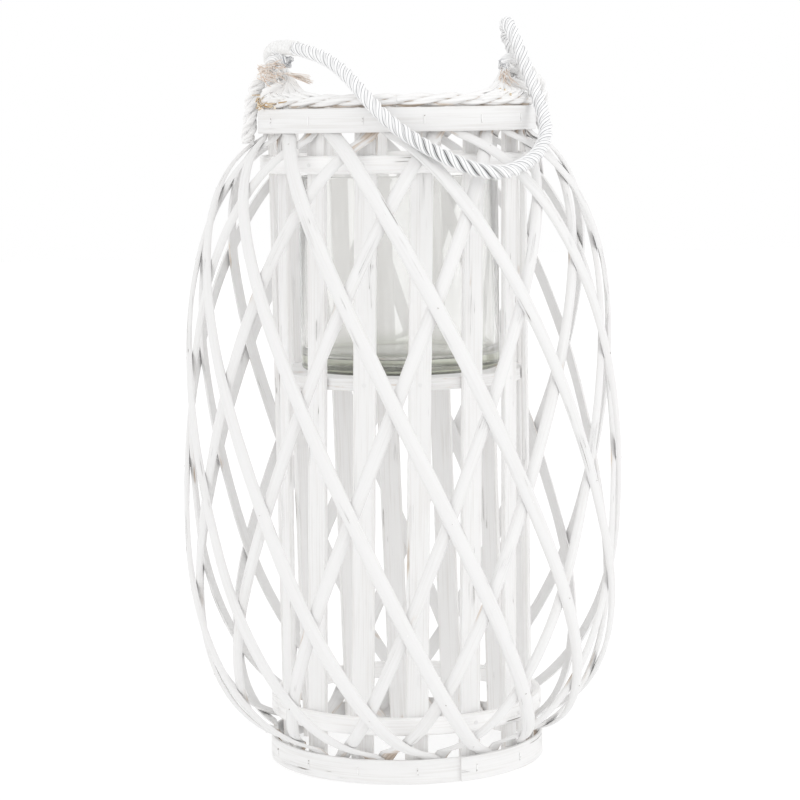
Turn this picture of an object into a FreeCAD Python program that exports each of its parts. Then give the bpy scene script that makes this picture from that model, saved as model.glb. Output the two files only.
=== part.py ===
import FreeCAD, Part
import math
import os

from FreeCAD import Vector

# A willow hurricane lantern. Fourteen upright slats carry two bands, two hoops, a plaited rim and a
# shelf. Split canes in two crossing layers belly out from band to band, a glass cylinder stands on
# the shelf, and a cord handle is hitched to two rope ears at the rim.
# Millimetres. +Z is up, the origin is the centre of the base, and the front faces -Y.
# Angles are degrees to the right of the front, as seen by someone who faces the lantern.

# Clearances between neighbouring pieces
FIT_GAP = 0.2
SEAT_GAP = 0.3
LAYER_GAP = 0.4

# Upright slats: each leans along the rim by the same amount at its top and its foot, and is set by hand,
# so it strays from even spacing
SLAT_COUNT = 14
SLAT_WIDTH = 16.0
SLAT_THICKNESS = 4.0
SLAT_EDGE = 0.8
SLAT_HEIGHT = 490.0
SLAT_FACE_RADIUS = 95.8
SLAT_FIRST_ANGLE = 7.5
SLAT_LEAN = 6.0
SLAT_STRAY_ANGLES = (0.0, -0.8, -1.9, -2.6, -2.4, -1.6, -1.1, -0.8, -3.7, -1.9, -2.5, 3.6, 2.7, 1.2)

# Lattice canes
CANE_COUNT = 14
CANE_WIDTH = 10.6
CANE_THICKNESS = 3.8
CANE_END_THICKNESS = 2.0
CANE_EDGE = 0.9
CANE_TAPER = 60.0
CANE_END_INSET = 4.0

# Sections along a cane: in the top band, its bend, the upper and the lower belly, and so out again,
# with finer steps between them to add up its travel and turn
CANE_SECTION_COUNTS = (1, 4, 14, 10, 4, 1)
FINE_STEP_COUNT = 8

# The two layers of canes: the radius at which a cane would lie level, the first cane's angle at the
# top, and how far each cane strays from even spacing, because they are laid by hand
OUTER_LEVEL_RADIUS = 69.0
OUTER_CANE_ANGLE = -33.0
OUTER_STRAY_ANGLES = (-3.0, -3.0, 0.0, 0.8, 1.5, 1.5, 2.0, 2.5, 2.5, 3.0, 3.6, 1.3, 0.3, -0.9)
INNER_LEVEL_RADIUS = 62.0
INNER_CANE_ANGLE = 19.3
INNER_STRAY_ANGLES = (3.9, 3.0, 2.8, -3.5, -5.6, -5.0, -4.0, -3.0, -2.0, -1.0, -0.5, 0.0, -1.0, 1.4)

# Belly of the lattice, at the surface between its two layers
BELLY_RADIUS = 161.9
BELLY_HEIGHT = 171.0
SHOULDER_ANGLE = 59.5
SHOULDER_REACH = 66.0
SHOULDER_PULL = 139.4
FOOT_ANGLE = 70.0
FOOT_REACH = 42.0
FOOT_PULL = 76.3
BEND_RADIUS = 5.0

# Bands
BAND_THICKNESS = 2.2
BASE_BAND_HEIGHT = 18.0
TOP_BAND_HEIGHT = 17.6
TOP_BAND_RISE = 0.6
LAP_STEP = 1.6
LAP_SPREAD = 34.0
BASE_LAP_ANGLE = 22.0
TOP_LAP_ANGLE = 196.0

# Hoops
HOOP_HEIGHT = 13.2
HOOP_THICKNESS = 6.0
HOOP_ROUND = 2.2
UPPER_HOOP_DROP = 16.2
LOWER_HOOP_RISE = 17.5

# Plaited rim
RIM_TUBE_RADIUS = 5.2
RIM_OVERHANG = 1.7

# Shelf
SHELF_TOP = 296.0
SHELF_THICKNESS = 9.0
SHELF_EDGE = 0.6

# Glass cylinder
GLASS_RADIUS = 75.0
GLASS_HEIGHT = 145.0
GLASS_WALL = 3.5
GLASS_BASE = 11.0
GLASS_HEEL = 4.0
GLASS_FLOOR_ROUND = 8.0

# Rope ears at the left and the right of the rim
EAR_TUBE_RADIUS = 5.5
EAR_FOOT_RISE = 1.0
EAR_INNER_FOOT_RISE = 5.0
EAR_KNEE_DROP = 15.0
EAR_CROWN_OUTSET = 1.0
EAR_CROWN_INSET = 16.3
EAR_KNEE_BEND = 12.0
EAR_CROWN_BEND = 6.5

# Cord eyes that hitch the handle to the ears
EYE_TUBE_RADIUS = 4.5
EYE_GAP = 0.4
EYE_INSET = 4.1
EYE_RIM_GAP = 2.4

# Handle cord, from the left eye round the front to the right eye
CORD_DIAMETER = 10.0
CORD_ARC_SHARE = 0.45
CORD_ROUTE = [
    (-84.5, -13.0, 533.5),
    (-76.0, -31.0, 536.5),
    (-63.5, -53.5, 533.0),
    (-51.5, -69.0, 527.0),
    (-41.0, -82.5, 519.5),
    (-32.0, -96.0, 510.5),
    (-22.5, -108.0, 499.0),
    (-11.5, -113.5, 486.0),
    (3.0, -115.5, 473.5),
    (20.0, -122.0, 462.5),
    (37.5, -128.5, 453.0),
    (56.0, -129.0, 445.5),
    (74.5, -120.5, 443.0),
    (92.0, -100.5, 449.0),
    (103.5, -77.0, 458.5),
    (108.5, -60.0, 470.5),
    (108.0, -48.0, 484.0),
    (104.0, -38.0, 499.0),
    (98.0, -31.0, 515.0),
    (92.5, -26.0, 531.0),
    (87.5, -20.5, 545.0),
    (83.5, -12.5, 554.0),
    (81.5, -1.5, 556.5),
    (82.0, 7.5, 550.5),
    (85.0, 8.5, 541.0),
    (89.5, 4.5, 533.5),
]

# Staples, pins and nails
STAPLE_CROWN = 6.0
STAPLE_WIRE = 0.9
STAPLE_PROUD = 0.5
STAPLE_DEPTH = 1.6
PIN_RADIUS = 0.6
PIN_PROUD = 0.25
NAIL_RADIUS = 0.75
NAIL_HEAD_RADIUS = 1.5
NAIL_HEAD = 0.4
NAIL_SINK = 0.1
SHELF_NAIL_BITE = 14.0
HOOP_NAIL_BITE = 2.6

# Places worked out from the driving dimensions
UP = Vector(0, 0, 1)
SLAT_PITCH = 360.0 / SLAT_COUNT
CANE_PITCH = 360.0 / CANE_COUNT
slat_inner_face = SLAT_FACE_RADIUS - SLAT_THICKNESS
slat_corner = math.hypot(SLAT_FACE_RADIUS, SLAT_WIDTH / 2 + SLAT_LEAN)
layer_radius = slat_corner + FIT_GAP + CANE_END_THICKNESS + LAYER_GAP / 2
band_inner = layer_radius + LAYER_GAP / 2 + CANE_END_THICKNESS + FIT_GAP
band_outer = band_inner + BAND_THICKNESS
hoop_inner = slat_corner + FIT_GAP
hoop_outer = hoop_inner + HOOP_THICKNESS
lower_hoop_bottom = BASE_BAND_HEIGHT + LOWER_HOOP_RISE
top_band_top = SLAT_HEIGHT + TOP_BAND_RISE
top_band_bottom = top_band_top - TOP_BAND_HEIGHT
upper_hoop_bottom = top_band_bottom - UPPER_HOOP_DROP - HOOP_HEIGHT
rim_radius = SLAT_FACE_RADIUS + RIM_OVERHANG
rim_centre = SLAT_HEIGHT + FIT_GAP + RIM_TUBE_RADIUS
rim_top = rim_centre + RIM_TUBE_RADIUS
eye_radius = EAR_TUBE_RADIUS + EYE_GAP + EYE_TUBE_RADIUS
eye_x = rim_radius - EYE_INSET
swing_height = rim_top + EYE_RIM_GAP + eye_radius + EYE_TUBE_RADIUS


def outward(angle):
    """Unit vector from the axis at an angle to the right of the front."""
    turn = math.radians(angle)
    return Vector(math.sin(turn), -math.cos(turn), 0)


def sideways(angle):
    """Unit vector along the rim at an angle, towards the right of someone who faces it."""
    turn = math.radians(angle)
    return Vector(math.cos(turn), math.sin(turn), 0)


def polar(radius, angle, height):
    return outward(angle) * radius + UP * height


def turned(shape, angle):
    copy = shape.copy()
    copy.rotate(Vector(0, 0, 0), UP, angle)
    return copy


def line(start, end):
    return Part.LineSegment(start, end).toShape()


def arc(start, middle, end):
    return Part.Arc(start, middle, end).toShape()


def ring(inner, outer, bottom, height, rounding=0.0):
    """A hoop of rectangular section, with its two outer edges rounded."""
    solid = Part.makeCylinder(outer, height, UP * bottom)
    if rounding:
        rims = [edge for edge in solid.Edges if isinstance(edge.Curve, Part.Circle)]
        solid = solid.makeFillet(rounding, rims)
    return solid.cut(Part.makeCylinder(inner, height, UP * bottom))


def export(name, shape):
    shape.exportStep(f"parts/{name}.step")


def slat_shift(height):
    """How far along the rim a slat stands from its middle at a height."""
    return SLAT_LEAN * (2 * height / SLAT_HEIGHT - 1)


def slat_middle_angle(copy):
    return SLAT_FIRST_ANGLE + SLAT_PITCH * copy + SLAT_STRAY_ANGLES[copy % len(SLAT_STRAY_ANGLES)]


def slat_angle(copy, height):
    """The angle of the middle of a slat's face at a height."""
    return slat_middle_angle(copy) + math.degrees(math.atan2(slat_shift(height), SLAT_FACE_RADIUS))


def slat(copy):
    """One slat with eased corners: its foot's section, drawn up along its lean."""
    angle = slat_middle_angle(copy)
    half = SLAT_WIDTH / 2
    eased = half - SLAT_EDGE
    back = slat_inner_face + SLAT_EDGE
    front = SLAT_FACE_RADIUS - SLAT_EDGE
    corners = [(-eased, slat_inner_face), (eased, slat_inner_face), (half, back), (half, front)]
    corners += [(eased, SLAT_FACE_RADIUS), (-eased, SLAT_FACE_RADIUS), (-half, front), (-half, back)]
    places = [sideways(angle) * (x + slat_shift(0.0)) + outward(angle) * y for x, y in corners]
    section = Part.Face(Part.makePolygon(places + places[:1]))
    return section.extrude(UP * SLAT_HEIGHT + sideways(angle) * (2 * SLAT_LEAN))


def lap_rise(angle, lap_angle):
    """How far the lapped end of a band stands off its outer face at an angle."""
    along = (angle - lap_angle) % 360.0
    return LAP_STEP * max(0.0, 1.0 - along / LAP_SPREAD)


def band(bottom, height, lap_angle):
    """A bent strip whose outer end laps over itself and thins away to the right of the lap."""
    hoop = ring(band_inner, band_outer, bottom, height)
    root = band_outer - BAND_THICKNESS / 2
    angles = [lap_angle, lap_angle + LAP_SPREAD / 2, lap_angle + LAP_SPREAD]
    outer = [polar(band_outer + lap_rise(angle, lap_angle), angle, bottom) for angle in angles]
    inner = [polar(root, angle, bottom) for angle in angles]
    outline = [arc(*outer), line(outer[-1], inner[-1]), arc(*reversed(inner)), line(inner[0], outer[0])]
    lap = Part.Face(Part.Wire(outline)).extrude(UP * height)
    return hoop.fuse(lap).removeSplitter()


class Station:
    """A place on the lattice's meridian: radius, height, tilt of its normal, travel from the top."""

    def __init__(self, radius, height, tilt):
        self.radius = radius
        self.height = height
        self.tilt = tilt
        self.travel = 0.0
        self.free = 0.0

    def thickness(self):
        """Thin inside a band, and full once the cane has run free of it for the length of the taper."""
        share = min(1.0, self.free / CANE_TAPER)
        return CANE_END_THICKNESS + (CANE_THICKNESS - CANE_END_THICKNESS) * share


class Layer:
    """One layer of canes: the way it turns, 1 or -1, its lean, and its canes' angles at the top."""

    def __init__(self, direction, level_radius, first_angle, strays):
        self.direction = direction
        self.level_radius = level_radius
        self.starts = []
        for copy in range(CANE_COUNT):
            self.starts.append(first_angle + CANE_PITCH * copy + strays[copy % len(strays)])

    def lean(self, station):
        """How far a cane leans from the meridian, on the shortest path over the belly."""
        return math.asin(self.level_radius / station.radius)

    def turns(self, stations):
        """How far a cane has turned about the axis at each station, in degrees."""
        turns = [0.0]
        for before, after in zip(stations, stations[1:]):
            rates = [math.tan(self.lean(place)) / place.radius for place in (before, after)]
            step = math.degrees((after.travel - before.travel) * sum(rates) / 2)
            turns.append(turns[-1] + self.direction * step)
        return turns


outer_layer = Layer(1, OUTER_LEVEL_RADIUS, OUTER_CANE_ANGLE, OUTER_STRAY_ANGLES)
inner_layer = Layer(-1, INNER_LEVEL_RADIUS, INNER_CANE_ANGLE, INNER_STRAY_ANGLES)


def bend_stations(height, down, tilts):
    """The short bend where a cane leaves a band; down is -1 under the top band and 1 over the base."""
    stations = []
    for tilt in tilts:
        radius = layer_radius + BEND_RADIUS * (1 - math.cos(tilt))
        stations.append(Station(radius, height + down * BEND_RADIUS * math.sin(abs(tilt)), tilt))
    return stations


def curve_stations(poles, count):
    """Stations along one smooth half of the belly, from its upper end to its lower end."""
    curve = Part.BezierCurve()
    curve.setPoles(poles)
    stations = []
    for step in range(count + 1):
        share = step / count
        place = curve.value(share)
        heading = curve.tangent(share)[0]
        stations.append(Station(place.x, place.z, math.atan2(heading.x, -heading.z)))
    return stations


def steps(start, end, count):
    return [start + (end - start) * step / count for step in range(count + 1)]


def meridian():
    """Fine stations from the top end of a cane to its lower end, with its travel added up."""
    counts = [sections * FINE_STEP_COUNT for sections in CANE_SECTION_COUNTS]
    shoulder = math.radians(SHOULDER_ANGLE)
    foot = math.radians(FOOT_ANGLE)
    top_end = top_band_top - CANE_END_INSET
    groups = [[Station(layer_radius, z, 0.0) for z in steps(top_end, top_band_bottom, counts[0])]]
    groups.append(bend_stations(top_band_bottom, -1, steps(0.0, shoulder, counts[1])))
    leaves = groups[-1][-1]
    under_foot = bend_stations(BASE_BAND_HEIGHT, 1, steps(-foot, 0.0, counts[4]))
    arrives = under_foot[0]
    start = Vector(leaves.radius, 0, leaves.height)
    belly = Vector(BELLY_RADIUS, 0, BELLY_HEIGHT)
    end = Vector(arrives.radius, 0, arrives.height)
    start_pole = start + Vector(math.sin(shoulder), 0, -math.cos(shoulder)) * SHOULDER_REACH
    end_pole = end + Vector(math.sin(foot), 0, math.cos(foot)) * FOOT_REACH
    groups.append(curve_stations([start, start_pole, belly + UP * SHOULDER_PULL, belly], counts[2]))
    groups.append(curve_stations([belly, belly - UP * FOOT_PULL, end_pole, end], counts[3]))
    groups.append(under_foot)
    tucked = steps(BASE_BAND_HEIGHT, CANE_END_INSET, counts[5])
    groups.append([Station(layer_radius, z, 0.0) for z in tucked])
    stations = groups[0]
    for group in groups[1:]:
        stations.extend(group[1:])
    for before, after in zip(stations, stations[1:]):
        run = math.hypot(after.radius - before.radius, after.height - before.height)
        after.travel = before.travel + run
    leaves_top = stations[counts[0]].travel
    enters_base = stations[-1 - counts[5]].travel
    for station in stations:
        station.free = max(0.0, min(station.travel - leaves_top, enters_base - station.travel))
    return stations


def normal_at(station, angle):
    """The outward normal of the lattice at a station."""
    return outward(angle) * math.cos(station.tilt) + UP * math.sin(station.tilt)


def cane_section(layer, station, angle):
    """A half-round section with its flat towards the axis, on its own side of the layers' surface."""
    thickness = station.thickness()
    offset = LAYER_GAP / 2 if layer is outer_layer else -LAYER_GAP / 2 - thickness
    normal = normal_at(station, angle)
    middle = polar(station.radius, angle, station.height) + normal * offset
    half = sideways(angle) * (CANE_WIDTH / 2 / math.cos(layer.lean(station)))
    left = middle - half
    right = middle + half
    rise = normal * CANE_EDGE
    edges = [line(left, right), line(right, right + rise)]
    edges.append(arc(right + rise, middle + normal * thickness, left + rise))
    edges.append(line(left + rise, left))
    return Part.Wire(edges)


def cane(layer, stations):
    """A cane of a layer that starts at the front, along the shortest path over the belly."""
    turns = layer.turns(stations)
    places = list(zip(stations, turns))[::FINE_STEP_COUNT]
    sections = [cane_section(layer, station, turn) for station, turn in places]
    return Part.makeLoft(sections, True, True)


def crossings(stations):
    """Each station and angle, clear of the bands, where an outer cane passes over an inner one."""
    lowest = BASE_BAND_HEIGHT + CANE_WIDTH / 2
    highest = top_band_bottom - CANE_WIDTH / 2
    outer_turns = outer_layer.turns(stations)
    closing = [out - back for out, back in zip(outer_turns, inner_layer.turns(stations))]
    found = []
    for start in outer_layer.starts:
        for inner_start in inner_layer.starts:
            laps = [(closed - inner_start + start) // 360.0 for closed in closing]
            for index, station in enumerate(stations[1:], 1):
                if laps[index] > laps[index - 1] and lowest < station.height < highest:
                    found.append((station, start + outer_turns[index]))
    return found


def crossing_pins(stations):
    """A headless pin through both canes at every crossing."""
    pins = []
    for station, angle in crossings(stations):
        normal = normal_at(station, angle)
        reach = LAYER_GAP / 2 + station.thickness()
        foot = polar(station.radius, angle, station.height) - normal * (reach - FIT_GAP)
        pins.append(Part.makeCylinder(PIN_RADIUS, 2 * reach + PIN_PROUD - FIT_GAP, foot, normal))
    print("crossings", len(pins))
    return Part.makeCompound(pins)


def staples(middle_height, lap_angle):
    """One upright wire staple over each slat, through the band and into the slat."""
    group = []
    for copy in range(SLAT_COUNT):
        angle = slat_angle(copy, middle_height)
        face = band_outer + lap_rise(angle, lap_angle)
        tip = SLAT_FACE_RADIUS - STAPLE_DEPTH
        low = middle_height - STAPLE_CROWN / 2
        left = -STAPLE_WIRE / 2
        reach = face + STAPLE_PROUD - tip
        leg = Part.makeBox(STAPLE_WIRE, reach, STAPLE_WIRE, Vector(left, -tip - reach, low))
        crown = Part.makeBox(STAPLE_WIRE, STAPLE_PROUD, STAPLE_CROWN, Vector(left, -tip - reach, low))
        upper = leg.translated(UP * (STAPLE_CROWN - STAPLE_WIRE))
        group.append(turned(crown.fuse([leg, upper]).removeSplitter(), angle))
    return Part.makeCompound(group)


def nails(height, face, bite):
    """One nail over each slat, with a flat head on a face at a given radius."""
    group = []
    for copy in range(SLAT_COUNT):
        angle = slat_angle(copy, height)
        inwards = outward(angle) * -1
        shank = Part.makeCylinder(NAIL_RADIUS, bite, polar(face, angle, height), inwards)
        head = Part.makeCylinder(NAIL_HEAD_RADIUS, NAIL_HEAD, polar(face + NAIL_HEAD, angle, height), inwards)
        group.append(shank.fuse(head).removeSplitter())
    return group


def shelf():
    radius = slat_inner_face - SEAT_GAP
    disc = Part.makeCylinder(radius, SHELF_THICKNESS, UP * (SHELF_TOP - SHELF_THICKNESS))
    rims = [edge for edge in disc.Edges if isinstance(edge.Curve, Part.Circle)]
    return disc.makeChamfer(SHELF_EDGE, rims)


def glass():
    """A thick-bottomed cylinder with a fire-rounded lip, spun from half of its section."""
    inner = GLASS_RADIUS - GLASS_WALL
    floor = SHELF_TOP + GLASS_BASE
    lip = SHELF_TOP + GLASS_HEIGHT - GLASS_WALL / 2
    slant = math.sqrt(0.5)

    def at(radius, height):
        return Vector(radius, 0, height)

    under = at(GLASS_RADIUS - GLASS_HEEL, SHELF_TOP)
    heel = at(GLASS_RADIUS, SHELF_TOP + GLASS_HEEL)
    heel_middle = under + at(slant, 1 - slant) * GLASS_HEEL
    cove = at(inner, floor + GLASS_FLOOR_ROUND)
    well = at(inner - GLASS_FLOOR_ROUND, floor)
    cove_middle = well + at(slant, 1 - slant) * GLASS_FLOOR_ROUND
    lip_top = at(GLASS_RADIUS - GLASS_WALL / 2, lip + GLASS_WALL / 2)
    edges = [line(at(0, SHELF_TOP), under), arc(under, heel_middle, heel)]
    edges += [line(heel, at(GLASS_RADIUS, lip)), arc(at(GLASS_RADIUS, lip), lip_top, at(inner, lip))]
    edges += [line(at(inner, lip), cove), arc(cove, cove_middle, well)]
    edges += [line(well, at(0, floor)), line(at(0, floor), at(0, SHELF_TOP))]
    return Part.Face(Part.Wire(edges)).revolve(Vector(0, 0, 0), UP, 360)


def rounded_path(points, radii):
    """Straight runs joined by tangent arcs, and the path's end points."""
    edges = []
    start = points[0]
    for before, corner, after, radius in zip(points, points[1:], points[2:], radii):
        back = (before - corner).normalize()
        ahead = (after - corner).normalize()
        half_turn = (math.pi - back.getAngle(ahead)) / 2
        trim = radius * math.tan(half_turn)
        bisector = (back + ahead).normalize()
        middle = corner + bisector * (radius / math.cos(half_turn) - radius)
        edges.append(line(start, corner + back * trim))
        edges.append(arc(corner + back * trim, middle, corner + ahead * trim))
        start = corner + ahead * trim
    edges.append(line(start, points[-1]))
    return Part.Wire(edges)


def tube(path, radius):
    """A round tube along a path."""
    first = path.OrderedEdges[0]
    heading = first.tangentAt(first.FirstParameter)
    section = Part.Wire([Part.makeCircle(radius, path.OrderedVertexes[0].Point, heading)])
    return path.makePipeShell([section], True, False)


def ear(side):
    """A bent rope tube over the rim; its outer leg stands on the band's face, its inner leg on a slat."""
    outer_x = band_outer + FIT_GAP + EAR_TUBE_RADIUS
    inner_x = slat_inner_face - SEAT_GAP - EAR_TUBE_RADIUS
    corners = [(outer_x, top_band_bottom + EAR_FOOT_RISE)]
    corners.append((outer_x, swing_height - EAR_KNEE_DROP))
    corners.append((rim_radius + EAR_CROWN_OUTSET, swing_height))
    corners.append((rim_radius - EAR_CROWN_INSET, swing_height))
    corners.append((inner_x, top_band_bottom + EAR_INNER_FOOT_RISE))
    points = [Vector(side * x, 0, z) for x, z in corners]
    return tube(rounded_path(points, [EAR_KNEE_BEND, EAR_CROWN_BEND, EAR_CROWN_BEND]), EAR_TUBE_RADIUS)


def cord_eye(side):
    """The hitch of the handle cord round the crown of an ear."""
    return Part.makeTorus(eye_radius, EYE_TUBE_RADIUS, Vector(side * eye_x, 0, swing_height), Vector(1, 0, 0))


def cord_points():
    """The route of the handle cord, from the top of the left eye to the top of the right one."""
    ends = [Vector(side * eye_x, 0, swing_height + eye_radius) for side in (-1, 1)]
    return [ends[0]] + [Vector(*point) for point in CORD_ROUTE] + [ends[1]]


def handle_cord():
    """A tube whose arcs are as large as the runs beside them allow; prints its radii and volume."""
    points = cord_points()
    radii = []
    for before, corner, after in zip(points, points[1:], points[2:]):
        turn = math.pi - (before - corner).getAngle(after - corner)
        shorter = min((before - corner).Length, (after - corner).Length)
        radii.append(CORD_ARC_SHARE * shorter / math.tan(turn / 2))
    path = rounded_path(points, radii)
    solid = tube(path, CORD_DIAMETER / 2)
    runs = [(after - before).Length for before, after in zip(points, points[1:])]
    print("cord runs", [round(run, 1) for run in runs])
    print("cord radii", [round(radius, 1) for radius in radii])
    print("cord length", round(path.Length, 1))
    section = math.pi * CORD_DIAMETER ** 2 / 4
    print("cord volume over section times length", round(solid.Volume / (section * path.Length), 4))
    return solid


def main():
    os.makedirs("parts", exist_ok=True)
    base_middle = BASE_BAND_HEIGHT / 2
    top_middle = (top_band_bottom + top_band_top) / 2
    export("base_band", band(0.0, BASE_BAND_HEIGHT, BASE_LAP_ANGLE))
    export("top_band", band(top_band_bottom, TOP_BAND_HEIGHT, TOP_LAP_ANGLE))
    export("base_staples", staples(base_middle, BASE_LAP_ANGLE))
    export("top_staples", staples(top_middle, TOP_LAP_ANGLE))
    hoop_nails = []
    for name, bottom in (("lower_hoop", lower_hoop_bottom), ("upper_hoop", upper_hoop_bottom)):
        export(name, ring(hoop_inner, hoop_outer, bottom, HOOP_HEIGHT, HOOP_ROUND))
        bite = hoop_outer - SLAT_FACE_RADIUS + HOOP_NAIL_BITE
        hoop_nails.extend(nails(bottom + HOOP_HEIGHT / 2, hoop_outer, bite))
    export("hoop_nails", Part.makeCompound(hoop_nails))
    export("rim_plait", Part.makeTorus(rim_radius, RIM_TUBE_RADIUS, UP * rim_centre))
    export("shelf_disc", shelf())
    bite = SLAT_THICKNESS + SHELF_NAIL_BITE
    shelf_middle = SHELF_TOP - SHELF_THICKNESS / 2
    shelf_nails = nails(shelf_middle, SLAT_FACE_RADIUS - NAIL_SINK, bite)
    export("shelf_nails", Part.makeCompound(shelf_nails))
    export("glass_cylinder", glass())

    for copy in range(SLAT_COUNT):
        export(f"slat_{copy + 1:02d}", slat(copy))
    stations = meridian()
    for name, layer in (("outer_cane", outer_layer), ("inner_cane", inner_layer)):
        front_cane = cane(layer, stations)
        for copy, start in enumerate(layer.starts, 1):
            export(f"{name}_{copy:02d}", turned(front_cane, start))
    export("crossing_pins", crossing_pins(stations))

    for side, name in ((-1, "left"), (1, "right")):
        export(f"{name}_ear", ear(side))
        export(f"{name}_cord_eye", cord_eye(side))
    export("handle_cord", handle_cord())
    print("band radius", round(band_outer, 2), "swing axis height", round(swing_height, 2))


main()
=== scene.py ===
# %% [markdown]
# # A willow hurricane lantern
# The lantern is white-washed willow: upright slats, two layers of split canes that belly out round
# them, bent bands and hoops, a plaited rim, rope ears, a satin rope handle and a glass for the candle.
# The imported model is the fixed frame. Every piece here is laid where that frame has it, in metres.

import math

import bpy
import numpy as np
from mathutils import Euler, Matrix, Vector


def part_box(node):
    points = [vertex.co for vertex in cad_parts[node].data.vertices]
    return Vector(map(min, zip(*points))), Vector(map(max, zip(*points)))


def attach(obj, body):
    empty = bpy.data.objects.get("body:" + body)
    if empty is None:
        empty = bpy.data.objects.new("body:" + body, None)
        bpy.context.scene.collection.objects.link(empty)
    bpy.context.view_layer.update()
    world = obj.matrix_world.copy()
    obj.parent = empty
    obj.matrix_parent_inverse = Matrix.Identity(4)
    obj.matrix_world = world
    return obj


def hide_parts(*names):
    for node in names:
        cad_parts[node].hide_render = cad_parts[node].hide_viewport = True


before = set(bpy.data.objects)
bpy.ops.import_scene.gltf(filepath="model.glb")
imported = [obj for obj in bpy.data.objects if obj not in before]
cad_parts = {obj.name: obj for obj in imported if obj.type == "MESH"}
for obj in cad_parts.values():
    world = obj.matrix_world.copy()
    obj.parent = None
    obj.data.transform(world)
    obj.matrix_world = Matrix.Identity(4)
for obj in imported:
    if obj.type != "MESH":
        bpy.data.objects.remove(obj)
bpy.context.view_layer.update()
MM = 0.001

# %% [markdown]
# ## Camera
# The lens and the place of the camera were worked out from the ellipses of the two bands: a long lens
# two metres away at the height of the top band, looking slightly down and turned by a degree.

# %% Camera
FOCAL_PIXELS = 2585.0
PICTURE_PIXELS = 800.0
MIDDLE_PIXEL = 401.5
SENSOR_WIDTH = 36.0
CAMERA_PLACE = (0.0, -1.9454, 0.485)
CAMERA_DIP = 6.29
CAMERA_ROLL = 0.95

lens = bpy.data.cameras.new("camera")
lens.sensor_width = SENSOR_WIDTH
lens.lens = FOCAL_PIXELS / PICTURE_PIXELS * SENSOR_WIDTH
lens.shift_x = (PICTURE_PIXELS / 2 - MIDDLE_PIXEL) / PICTURE_PIXELS
camera = bpy.data.objects.new("camera", lens)
bpy.context.scene.collection.objects.link(camera)
camera.location = CAMERA_PLACE
looking = Euler((math.radians(90 - CAMERA_DIP), 0, 0)).to_matrix()
camera.rotation_euler = (looking @ Matrix.Rotation(math.radians(-CAMERA_ROLL), 3, "Z")).to_euler()
bpy.context.scene.camera = camera
print("lens", round(lens.lens, 1), "mm")

# %% [markdown]
# ## Straight stock
# Nearly every part of this lantern starts as a straight length of something: a slat, a split cane, a
# strand of rope. So each is modelled straight first, standing along z with x across it and y through
# it, and cut into short lengths that can bend.

# %% Straight stock
def select_only(*pieces):
    """Selects these pieces alone; the last of them becomes the active one."""
    bpy.ops.object.select_all(action="DESELECT")
    for piece in pieces:
        piece.select_set(True)
        bpy.context.view_layer.objects.active = piece


def clear_picks(mesh):
    """Deselects every vertex, edge and face of a mesh."""
    for part in (mesh.vertices, mesh.edges, mesh.polygons):
        part.foreach_set("select", [False] * len(part))


def pick_edges(piece, test):
    """Selects the edges whose two ends pass a test, ready for edit mode."""
    mesh = piece.data
    clear_picks(mesh)
    for edge in mesh.edges:
        start, end = (mesh.vertices[index].co for index in edge.vertices)
        edge.select = test(start, end)
    bpy.context.tool_settings.mesh_select_mode = (False, True, False)


def edit(operator, **settings):
    """Runs one mesh operator in edit mode."""
    bpy.ops.object.mode_set(mode="EDIT")
    operator(**settings)
    bpy.ops.object.mode_set(mode="OBJECT")


def runs_along(start, end):
    """True for an edge that runs along z."""
    return abs(end.z - start.z) > 0.9 * (end - start).length


def stock(name, section, width, thickness, length, cuts, sides=12, ease=0.0):
    """A straight length that stands on z = 0: a square bar or a half-round split cane, which have their
    backs on y = 0, or a round strand about the z axis. Ease rounds its long edges, and cuts says how
    often they are cut, in turn."""
    bpy.ops.object.select_all(action="DESELECT")
    if section == "square":
        middle = (0, thickness / 2, length / 2)
        bpy.ops.mesh.primitive_cube_add(size=1, location=middle, scale=(width, thickness, length))
    else:
        halves = 2 if section == "half_round" else 1
        bpy.ops.mesh.primitive_cylinder_add(
            vertices=halves * sides, radius=0.5, depth=1, location=(0, 0, length / 2),
            scale=(width, halves * thickness, length))
    piece = bpy.context.object
    piece.name = name
    bpy.ops.object.transform_apply(location=True, rotation=True, scale=True)
    if section == "half_round":
        edit(bpy.ops.mesh.select_all, action="SELECT")
        edit(bpy.ops.mesh.bisect, plane_co=(0, 0, 0), plane_no=(0, 1, 0), clear_inner=True, use_fill=True)
    if ease:
        pick_edges(piece, runs_along)
        edit(bpy.ops.mesh.bevel, offset=ease, segments=3)
    for count in cuts:
        pick_edges(piece, runs_along)
        edit(bpy.ops.mesh.subdivide, number_cuts=count)
    return piece


# %% [markdown]
# ## Bending stock onto a path
# Blender's Curve modifier bends a bar too, but it can't keep the flat of a cane turned to the lantern's
# axis. A path here is a row of places, each with its own directions across and up, and a bar is laid
# on it by moving every vertex. Each vertex also keeps how far across, through and along the piece it
# lies, as an attribute called grain, so that the wood grain follows every bend. A second attribute,
# missed, says how far out of reach of the paint brush it lay. On the satin rope it says instead where
# painted shade darkens the opened grooves, or where a cut end is grey.

# %% Paths
SMOOTH_ANGLE = math.radians(50)
GRAIN_STEP = 0.173


def points_of(mesh):
    places = np.empty(len(mesh.vertices) * 3, np.float32)
    mesh.vertices.foreach_get("co", places)
    return places.reshape(-1, 3).astype(float)


def set_points(mesh, places):
    mesh.vertices.foreach_set("co", places.astype(np.float32).ravel())


def unit(vectors):
    return vectors / np.linalg.norm(vectors, axis=1, keepdims=True)


def headings(points):
    return unit(np.gradient(points, axis=0))


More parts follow.
